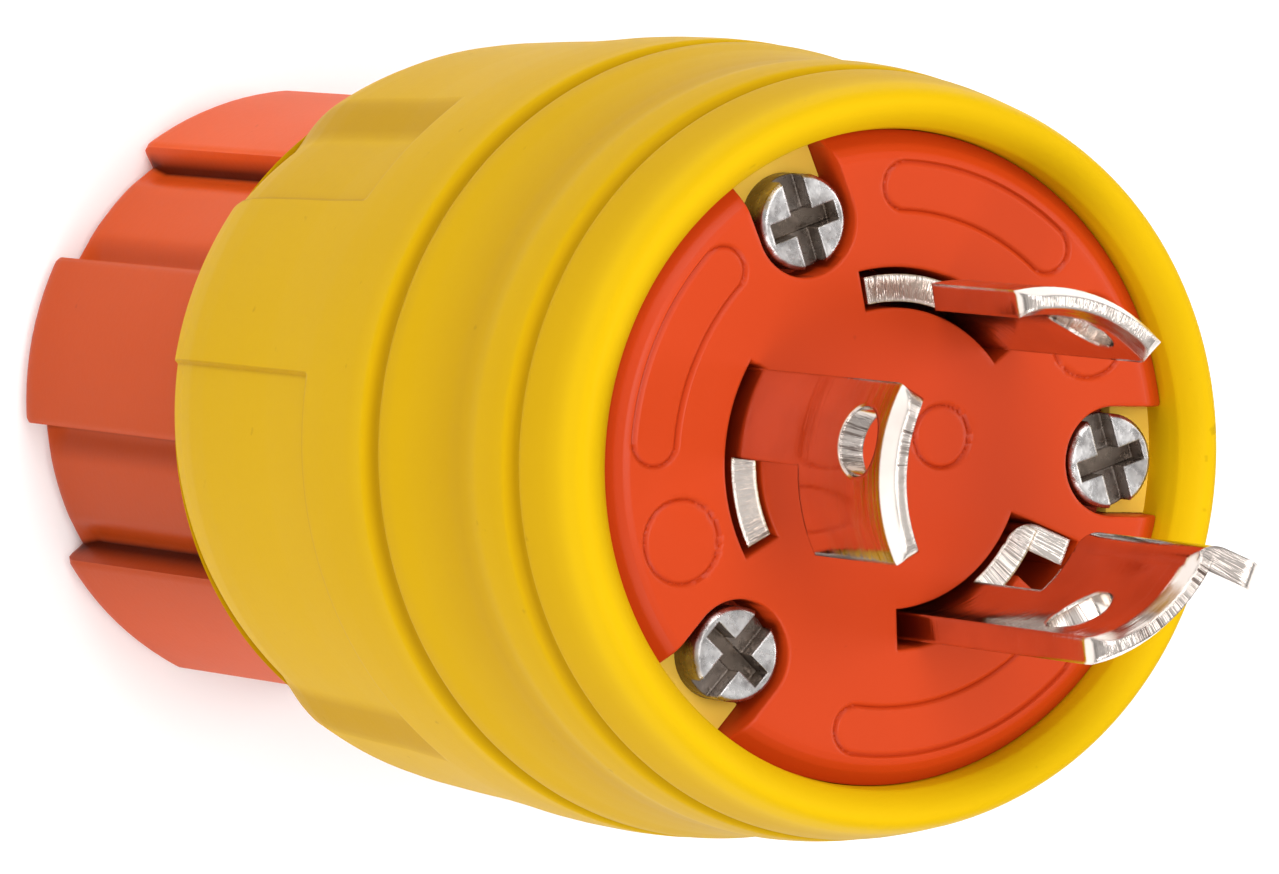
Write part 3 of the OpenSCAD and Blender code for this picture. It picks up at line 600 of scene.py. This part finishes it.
# Distance to the nearest notch or slot, below zero inside one, and the floor found there.
# A notch is a circle with parallel sides running outward, and a slot a piece of a ring.
def openingGap(radius, degrees):
    shape = faceShape
    farAway = 99.0
    gap = np.full(radius.shape, farAway)
    floor = np.zeros(radius.shape)
    for middle in screwAngles:
        off = np.radians(angleOff(degrees, middle))
        out, side = radius * np.cos(off) - shape["screwCircle"], radius * np.sin(off)
        away = np.where(out < 0, np.hypot(out, side), np.abs(side)) - shape["notch"]
        away = np.where(np.abs(off) > 1, farAway, away)
        seat = np.where(out < shape["earFrom"], shape["seat"], shape["seatUnderEar"])
        floor = np.where(away < 0, seat, floor)
        gap = np.minimum(gap, away)
    openings = [(first, last, shape["slotIn"], shape["slotOut"]) for first, last in shape["slots"]]
    openings.append((*shape["leg"], shape["slotIn"] + shape["legIn"], shape["legOut"]))
    for first, last, near, far in openings:
        middle, half = (first + last) / 2, (last - first) / 2
        along = (np.abs(angleOff(degrees, middle)) - half) * np.radians(radius)
        across = np.maximum(near - radius, radius - far)
        outside = np.hypot(np.maximum(along, 0), np.maximum(across, 0))
        away = np.where(np.maximum(along, across) > 0, outside, np.maximum(along, across))
        floor = np.where(away < 0, shape["slotDepth"], floor)
        gap = np.minimum(gap, away)
    return gap, floor


# Engraved outlines: a bell-shaped groove along each pad's edge, and the pad itself a little
# sunk. A pad's edge is where the distance to its middle line or middle point equals its half width.
def padRelief(radius, degrees):
    shape = faceShape
    x, y = radius * np.cos(np.radians(degrees)), radius * np.sin(np.radians(degrees))
    edges = []
    for first, last in shape["arches"]:
        middle, half = (first + last) / 2, (last - first) / 2
        nearest = np.radians(middle + np.clip(angleOff(degrees, middle), -half, half))
        edges.append(np.hypot(x - shape["archRadius"] * np.cos(nearest),
                              y - shape["archRadius"] * np.sin(nearest)) - shape["archHalf"])
    for ring, angle, size in shape["rounds"]:
        at = math.radians(angle)
        edges.append(np.hypot(x - ring * math.cos(at), y - ring * math.sin(at)) - size)
    relief = np.zeros(radius.shape)
    for edge in edges:
        relief += shape["lineDepth"] * np.exp(-(edge / shape["line"]) ** 2)
        relief += shape["padSunk"] * (1 - smoothStep(*shape["padEdge"], edge))
    return relief


# The values in order, less those that lie too close to the one before
def spacedOut(parts, least, wrap=None):
    values = np.concatenate(parts)
    values = np.unique(np.round(np.mod(values, wrap) if wrap else values, 3))
    return values[np.concatenate([[True], np.diff(values) > least])]


# Angles of the grid's lines: even ones, and closer ones at slots, notches and engraved pads
def faceLines():
    shape, grid = faceShape, faceGrid
    rim = np.array(grid["rim"])
    lines = [np.arange(0, 360, grid["turnStep"])]
    slotRim = rim * math.degrees(1 / shape["slotIn"])
    within = grid["slotEndIn"]
    for first, last in shape["slots"] + [shape["leg"]]:
        lines += [first + slotRim, [first + within, last - within], last - slotRim]
    full, notchRim, notchIn = grid["notchTurn"], rim * grid["notchRim"], np.array(grid["notchIn"])
    for middle in screwAngles:
        lines += [middle - full + notchRim, middle + full - notchRim,
                  middle - full + notchIn, middle + full - notchIn]
    fine, out, back = grid["fineStep"], grid["archOut"], grid["archIn"]
    for first, last in shape["arches"]:
        lines += [np.arange(first - out, first + back, fine), np.arange(last - back, last + out, fine)]
    for _, angle, _ in shape["rounds"][:2]:
        lines += [np.arange(angle - grid["roundHalf"], angle + grid["roundHalf"], fine)]
    return spacedOut(lines, grid["sameLine"], 360)


# Radii of the grid's rings, chosen in the same way from the hub to the rim
def faceRings():
    shape, grid = faceShape, faceGrid
    rim, inside = np.array(grid["rim"]), grid["rimIn"]
    slotIn, slotOut, legOut = shape["slotIn"], shape["slotOut"], shape["legOut"]
    start = shape["screwCircle"] - shape["notch"]
    arc = np.radians(np.arange(0, 95, grid["notchArc"]))
    far, near, count = grid["notchStart"]
    hubEnd, hubCount = grid["hubRings"]
    bevelFrom, bevelCount = grid["bevelRings"]
    rings = [np.linspace(grid["hub"], hubEnd, hubCount),
             np.arange(grid["ringsFrom"], shape["radius"], grid["ringStep"]),
             slotIn + rim, [slotIn + inside, slotOut - inside], slotOut - rim,
             [legOut - inside], legOut - rim,
             start + rim, [start + inside], start + shape["notch"] * (1 - np.cos(arc)),
             np.linspace(start - far, start - near, count),
             np.arange(*grid["engravedRings"]), [radius for radius, _ in shape["bevel"]][2:],
             np.linspace(bevelFrom, shape["radius"], bevelCount)]
    return spacedOut(rings, grid["sameRing"])


# The face block is a round grid of rings and lines. A point lies below the face by the bevel at
# its radius, the rounding near an opening, and the engraving, or by an opening's own depth.
def makeFace():
    shape = faceShape
    lines, rings = faceLines(), faceRings()
    radius = rings[:, None] + 0 * lines[None, :]
    degrees = bendLines(lines[None, :], rings[:, None])
    gap, floor = openingGap(radius, degrees)
    relief = padRelief(radius, degrees)
    soft = shape["edgeRound"]
    turned = soft - np.clip(gap, 0, soft)
    drop = soft - np.sqrt(soft ** 2 - turned ** 2)
    drop = drop + np.interp(radius, *np.array(shape["bevel"]).T) + relief
    drop = np.where(gap < shape["inside"], floor, drop)
    top = fromPolar(radius, degrees, faceHeight - drop)
    back = np.array([(shape["radius"], shape["backDrop"]), (faceGrid["hub"], shape["backDrop"])])
    under = fromPolar(back[:, :1], degrees[-1:] + 0 * back[:, :1], faceHeight - back[:, 1:])
    crown = fromPolar(0 * degrees[:1], degrees[:1], top[:1, :, 2].mean())
    points = np.concatenate([crown, top, under, crown - [0, 0, shape["backDrop"]]])
    face = gridPiece("faceBlock", points, False, True, 40)
    # painted shade: darker in the engraved lines, in the middle near the blades, and inside the openings
    lineShade = shape["lineShade"] * np.clip(relief / shape["lineDepth"] - shape["lineFrom"], 0, 1)
    paintedTone = 1 - lineShade - shape["middleShade"] * (1 - smoothStep(*shape["middle"], radius))
    paintedTone = np.where(gap < shape["inside"], shape["openingShade"], paintedTone)
    paintShade(face, np.concatenate([paintedTone[:1], paintedTone, paintedTone[-1:], paintedTone[-1:], paintedTone[:1]]))
    finishPiece(face, "plug", "orange", "face", "contact_carrier")
    print("face block:", len(face.data.polygons), "faces,", len(lines), "by", len(rings))


makeFace()

# Orange cord nut with its lobes
nutShape = {
    "lobes": 6, "firstLobe": 169.75, "lobeHalf": 16.25,       # angles in degrees
    "lobeRadius": 16.9, "rootRadius": 15.7,
    "endRound": 1.8,                                          # rounding of the rear end
    "cornerLength": 1.1, "cornerTurn": 2.6,                   # a lobe's corners, along z and in degrees
    # channel at each lobe's foot: depth, degrees past the half angle where it starts to run out,
    # and angle where it ends
    "channel": 0.6, "channelFrom": 1.5, "channelEnd": 24.0,
    "rear": 0.8, "rearRun": (0, 1.5),                         # where it starts along z, and deepens
    "front": 21.6, "frontRun": (-1, 0),                       # and where it ends, before the collar
    "collar": 0.35, "collarRun": (-0.4, 0.2),                 # how far the plain front stands up
    "wallTurn": (-0.1, 0.4), "wallFoot": 0.5,                 # a lobe's wall, past its half angle
    "lobeSag": 0.12, "sagTurn": (-1.2, -0.1),                 # how a lobe falls off towards its wall
    # height and radius of the bore, from the front
    "bore": [(26.0, 12.8), (5.5, 12.8), (5.5, 7.4), (0.9, 7.4), (0.0, 8.3)],
    # tone by angle: deeper where the nut looks away from the light
    "paintedShades": [(0, 0.9), (90, 1.0), (127, 1.0), (136, 0.88), (152, 0.9), (154, 0.74), (170, 0.68),
              (185, 0.62), (187, 0.64), (195, 0.58), (206, 0.50), (213, 0.52), (217, 0.62),
              (230, 0.74), (250, 0.80), (300, 0.84), (360, 0.9)],
    "boreShade": 0.8, "wallShade": 0.1,                         # painted shade in the bore and on the lobes' walls; the walls' is a share of the rest's
    "darkFrom": (0, 0.25), "darkTo": (0.4, 1.6),              # its ends, in degrees past the half angle
    "darkRear": (0.2, 1.2), "darkFront": (-1, -0.4),          # and along z, from the rear and the front
}
# Where the grid's lines run: heights in millimetres, and angles from a lobe's middle in degrees
nutGrid = {
    "heights": [0.0, 0.06, 0.2, 0.45, 0.8, 1.2, 1.7, 2.3, 3.0, *range(4, 21)],
    "frontHeights": (-0.6, 0.8, 8),                           # measured from the front of the channels
    "collarHeights": [22.6, 24, 26.0],
    "valley": [-30, -28.5, -27, -26], "slope": (-25.2, -17, 0.6),
    "wall": [-16.7, -16.5, -16.3, -16.1, -15.9, -15.6, -15.2, -14.6],
    "lobe": [-13.5, -12, -9, -6, -3, 0],
}


# Angle from the middle of the nearest lobe, never below zero
def lobeOff(degrees):
    pitch = 360.0 / nutShape["lobes"]
    return np.abs(np.mod(degrees - nutShape["firstLobe"] + pitch / 2, pitch) - pitch / 2)


# A smooth S between two ends that are measured from a start
def stepFrom(start, ends, value):
    return smoothStep(start + ends[0], start + ends[1], value)


# Radius of the nut: the root circle sinks into a channel beside each lobe, whose wall is steep,
# and channel and wall fade into a plain collar at the front
def nutRadius(degrees, height):
    shape = nutShape
    off, half = lobeOff(degrees), shape["lobeHalf"]
    inLength = stepFrom(shape["rear"], shape["rearRun"], height)
    inLength = inLength * (1 - stepFrom(shape["front"], shape["frontRun"], height))
    runOut = smoothStep(half + shape["channelFrom"], shape["channelEnd"], off)
    channel = shape["channel"] * (1 - runOut) * inLength
    root = shape["rootRadius"] + shape["collar"] * stepFrom(shape["front"], shape["collarRun"], height)
    rise = 1 - stepFrom(half, shape["wallTurn"], off)
    lobe = shape["lobeRadius"] - shape["lobeSag"] * stepFrom(half, shape["sagTurn"], off)
    return root - channel + (lobe - root + channel) * rise


# Painted shade of the nut: the shade at its angle, darkened on the walls of the lobes, which lie in shade
def nutShade(degrees, height):
    shape = nutShape
    off, half = lobeOff(degrees), shape["lobeHalf"]
    wall = stepFrom(half, shape["darkFrom"], off) * (1 - stepFrom(half, shape["darkTo"], off))
    wall = wall * stepFrom(0, shape["darkRear"], height)
    wall = wall * (1 - stepFrom(shape["front"], shape["darkFront"], height))
    paintedTone = np.interp(degrees % 360, *np.array(shape["paintedShades"]).T)
    return paintedTone * (1 - (1 - shape["wallShade"]) * wall)


# The nut is a grid of heights and angles at the nut's radius, closed through its bore. At the
# rear it rounds in, and there the lines along each lobe's wall draw in towards the lobe's middle,
# which rounds the lobe's corners.
def makeNut():
    shape, grid = nutShape, nutGrid
    heights = np.concatenate([grid["heights"], shape["front"] + np.linspace(*grid["frontHeights"]),
                              grid["collarHeights"]])[:, None]
    offs = np.concatenate([grid["valley"], np.arange(*grid["slope"]), grid["wall"], grid["lobe"]])
    offs = np.concatenate([offs, -offs[-2:0:-1]])
    pitch, valley = 360.0 / shape["lobes"], 180.0 / shape["lobes"]
    degrees = (shape["firstLobe"] + offs[None, :] + pitch * np.arange(shape["lobes"])[:, None]).ravel()
    shrink = shape["cornerTurn"] * roundedEnd(heights, shape["cornerLength"])
    off, foot = np.tile(offs, shape["lobes"])[None, :], shape["lobeHalf"] + shape["wallFoot"]
    onLobe = off * (1 - shrink / foot)
    between = valley - (valley - np.abs(off)) * (valley - foot + shrink) / (valley - foot)
    bent = degrees - off + np.where(np.abs(off) <= foot, onLobe, np.sign(off) * between)
    radius = nutRadius(degrees[None, :], heights)
    radius = radius - shape["endRound"] * roundedEnd(heights, shape["endRound"])
    outer = fromPolar(radius, bent, nutEnd + heights)
    bore = np.array(shape["bore"])
    inner = fromPolar(bore[:, 1:], bent[-1:], nutEnd + bore[:, :1])
    nut = gridPiece("nutShell", np.concatenate([outer, inner])[::-1], True, True)
    # painted shade: darker where the nut looks away from the light, on the lobes' walls and in the bore
    paintedTone = nutShade(degrees[None, :], heights)
    paintedTone = np.concatenate([paintedTone, np.full(inner.shape[:2], shape["boreShade"])])
    paintShade(nut, paintedTone[::-1])
    finishPiece(nut, "cord_nut", "nutOrange", "nut", "cord_nut")
    print("nut:", len(nut.data.polygons), "faces")


makeNut()

# Finishes of the nodes that stay as they are
nodeFinish = {
    "blade_line_1": "nickel", "blade_line_2": "nickel", "blade_ground": "nickel",
    "assembly_screws": "screwZinc", "screw_inserts": "brass", "base_screw": "zinc",
    "wire_clamp_line_1": "brass", "wire_clamp_line_2": "brass", "wire_clamp_ground": "brass",
    "terminal_screws_line": "brass", "terminal_screw_ground": "green",
    "terminal_base": "black", "face_seal": "black", "nut_seal": "black", "cord_grommet": "black",
    "thrust_washer": "nylon", "grip_collet": "nylon",
}
for nodeName, finishName in nodeFinish.items():
    node = frame["nodes"][nodeName]
    node.data.materials.clear()
    node.data.materials.append(finishes[finishName])
print("node finishes set")

# Floor, surroundings, lamps and camera
studio = {
    "floorHalf": 3.0,                        # metres
    "floorDrop": 0.03,                       # millimetres below the nut, so that they share no plane
    "floorColour": (0.93, 0.93, 0.93), "floorGlow": 0.1, "floorRoughness": 0.9,
    "fibreScale": 400.0, "fibre": 0.05, "fibreHeight": 0.0002,
    "world": 0.72,
    # brightness of the surroundings by height: a dark band above the horizon for the metals
    "bands": [(0.0, 0.25), (0.06, 0.3), (0.16, 0.75), (0.5, 0.85), (0.8, 1.0)],
}
lamps = {
    "keyLamp": dict(place=(-0.20, 0.62, 0.60), aim=(0, 0, 0.05), width=0.5, height=0.35, watts=2.7),
    "fillLamp": dict(place=(-0.46, -0.56, 0.46), aim=(0, 0, 0.05), width=0.5, height=0.5, watts=3.2),
    "rightLamp": dict(place=(0.60, 0.05, 0.45), aim=(0, 0, 0.06), width=0.4, height=0.4, watts=1.6),
    "faceLamp": dict(place=(-0.20, 0.08, 1.00), aim=(0, 0, 0.07), width=0.4, height=0.4, watts=3.6),
}
viewpoint = {
    "eye": (-0.30977, 0.03017, 0.59508),
    "across": (0.87331, 0.02677, 0.48643),   # the direction that runs left to right in the picture
    "aim": (-0.01130, 0.00077, 0.06084),
    "lens": 337.76, "sensor": 36.0, "near": 0.01, "far": 20,
}


# A flat square grid a hair below the nut, with the fibres of paper
def makeFloor():
    across = np.linspace(-1, 1, 41) * studio["floorHalf"] / mm
    x, y = np.meshgrid(across, across, indexing="ij")
    floor = gridPiece("studioFloor", np.stack([x, y, 0 * x - studio["floorDrop"]], axis=-1))
    floorMaterial, tree, shader = newMaterial("paperFloor")
    place = addNode(tree, "ShaderNodeTexCoord")
    fibre = addNode(tree, "ShaderNodeTexNoise", Scale=studio["fibreScale"], Detail=3.0)
    bump = addNode(tree, "ShaderNodeBump", Strength=studio["fibre"], Distance=studio["fibreHeight"])
    tree.links.new(place.outputs["Object"], fibre.inputs["Vector"])
    tree.links.new(fibre.outputs["Fac"], bump.inputs["Height"])
    tree.links.new(bump.outputs["Normal"], shader.inputs["Normal"])
    shader.inputs["Base Color"].default_value = (*studio["floorColour"], 1)
    shader.inputs["Roughness"].default_value = studio["floorRoughness"]
    shader.inputs["Emission Color"].default_value = (1, 1, 1, 1)
    shader.inputs["Emission Strength"].default_value = studio["floorGlow"]
    floor.data.materials.append(floorMaterial)


# Rectangular lamp at a place, aimed at a point, both in metres
def areaLamp(name, place, aim, width, height, watts):
    lamp = bpy.data.lights.new(name, "AREA")
    lamp.shape = "RECTANGLE"
    lamp.size, lamp.size_y, lamp.energy = width, height, watts
    holder = bpy.data.objects.new(name, lamp)
    bpy.context.scene.collection.objects.link(holder)
    holder.location = place
    holder.rotation_euler = (Vector(aim) - Vector(place)).to_track_quat("-Z", "Y").to_euler()


# Even light from all round, whose brightness changes with the height that is looked at
def makeWorld():
    world = bpy.data.worlds.new("studioWorld")
    world.use_nodes = True
    tree = world.node_tree
    place = addNode(tree, "ShaderNodeTexCoord")
    split = addNode(tree, "ShaderNodeSeparateXYZ")
    ramp = addNode(tree, "ShaderNodeValToRGB")
    marks = ramp.color_ramp.elements
    while len(marks) < len(studio["bands"]):
        marks.new(0.5)
    for mark, (height, level) in zip(marks, studio["bands"]):
        mark.position, mark.color = height, (level, level, level, 1)
    background = tree.nodes["Background"]
    background.inputs["Strength"].default_value = studio["world"]
    tree.links.new(place.outputs["Generated"], split.inputs["Vector"])
    tree.links.new(split.outputs["Z"], ramp.inputs["Fac"])
    tree.links.new(ramp.outputs["Color"], background.inputs["Color"])
    bpy.context.scene.world = world


def makeCamera():
    camera = bpy.data.cameras.new("studioCamera")
    camera.lens, camera.sensor_width = viewpoint["lens"], viewpoint["sensor"]
    camera.sensor_fit = "HORIZONTAL"
    camera.clip_start, camera.clip_end = viewpoint["near"], viewpoint["far"]
    holder = bpy.data.objects.new("studioCamera", camera)
    bpy.context.scene.collection.objects.link(holder)
    eye = Vector(viewpoint["eye"])
    back = (eye - Vector(viewpoint["aim"])).normalized()
    up = back.cross(Vector(viewpoint["across"])).normalized()
    turn = Matrix((up.cross(back), up, back)).transposed()
    holder.matrix_world = Matrix.Translation(eye) @ turn.to_4x4()
    bpy.context.scene.camera = holder


makeFloor()
for lampName, lamp in lamps.items():
    areaLamp(lampName, **lamp)
makeWorld()
bpy.context.scene.view_settings.view_transform = "Standard"
makeCamera()
print("studio ready")
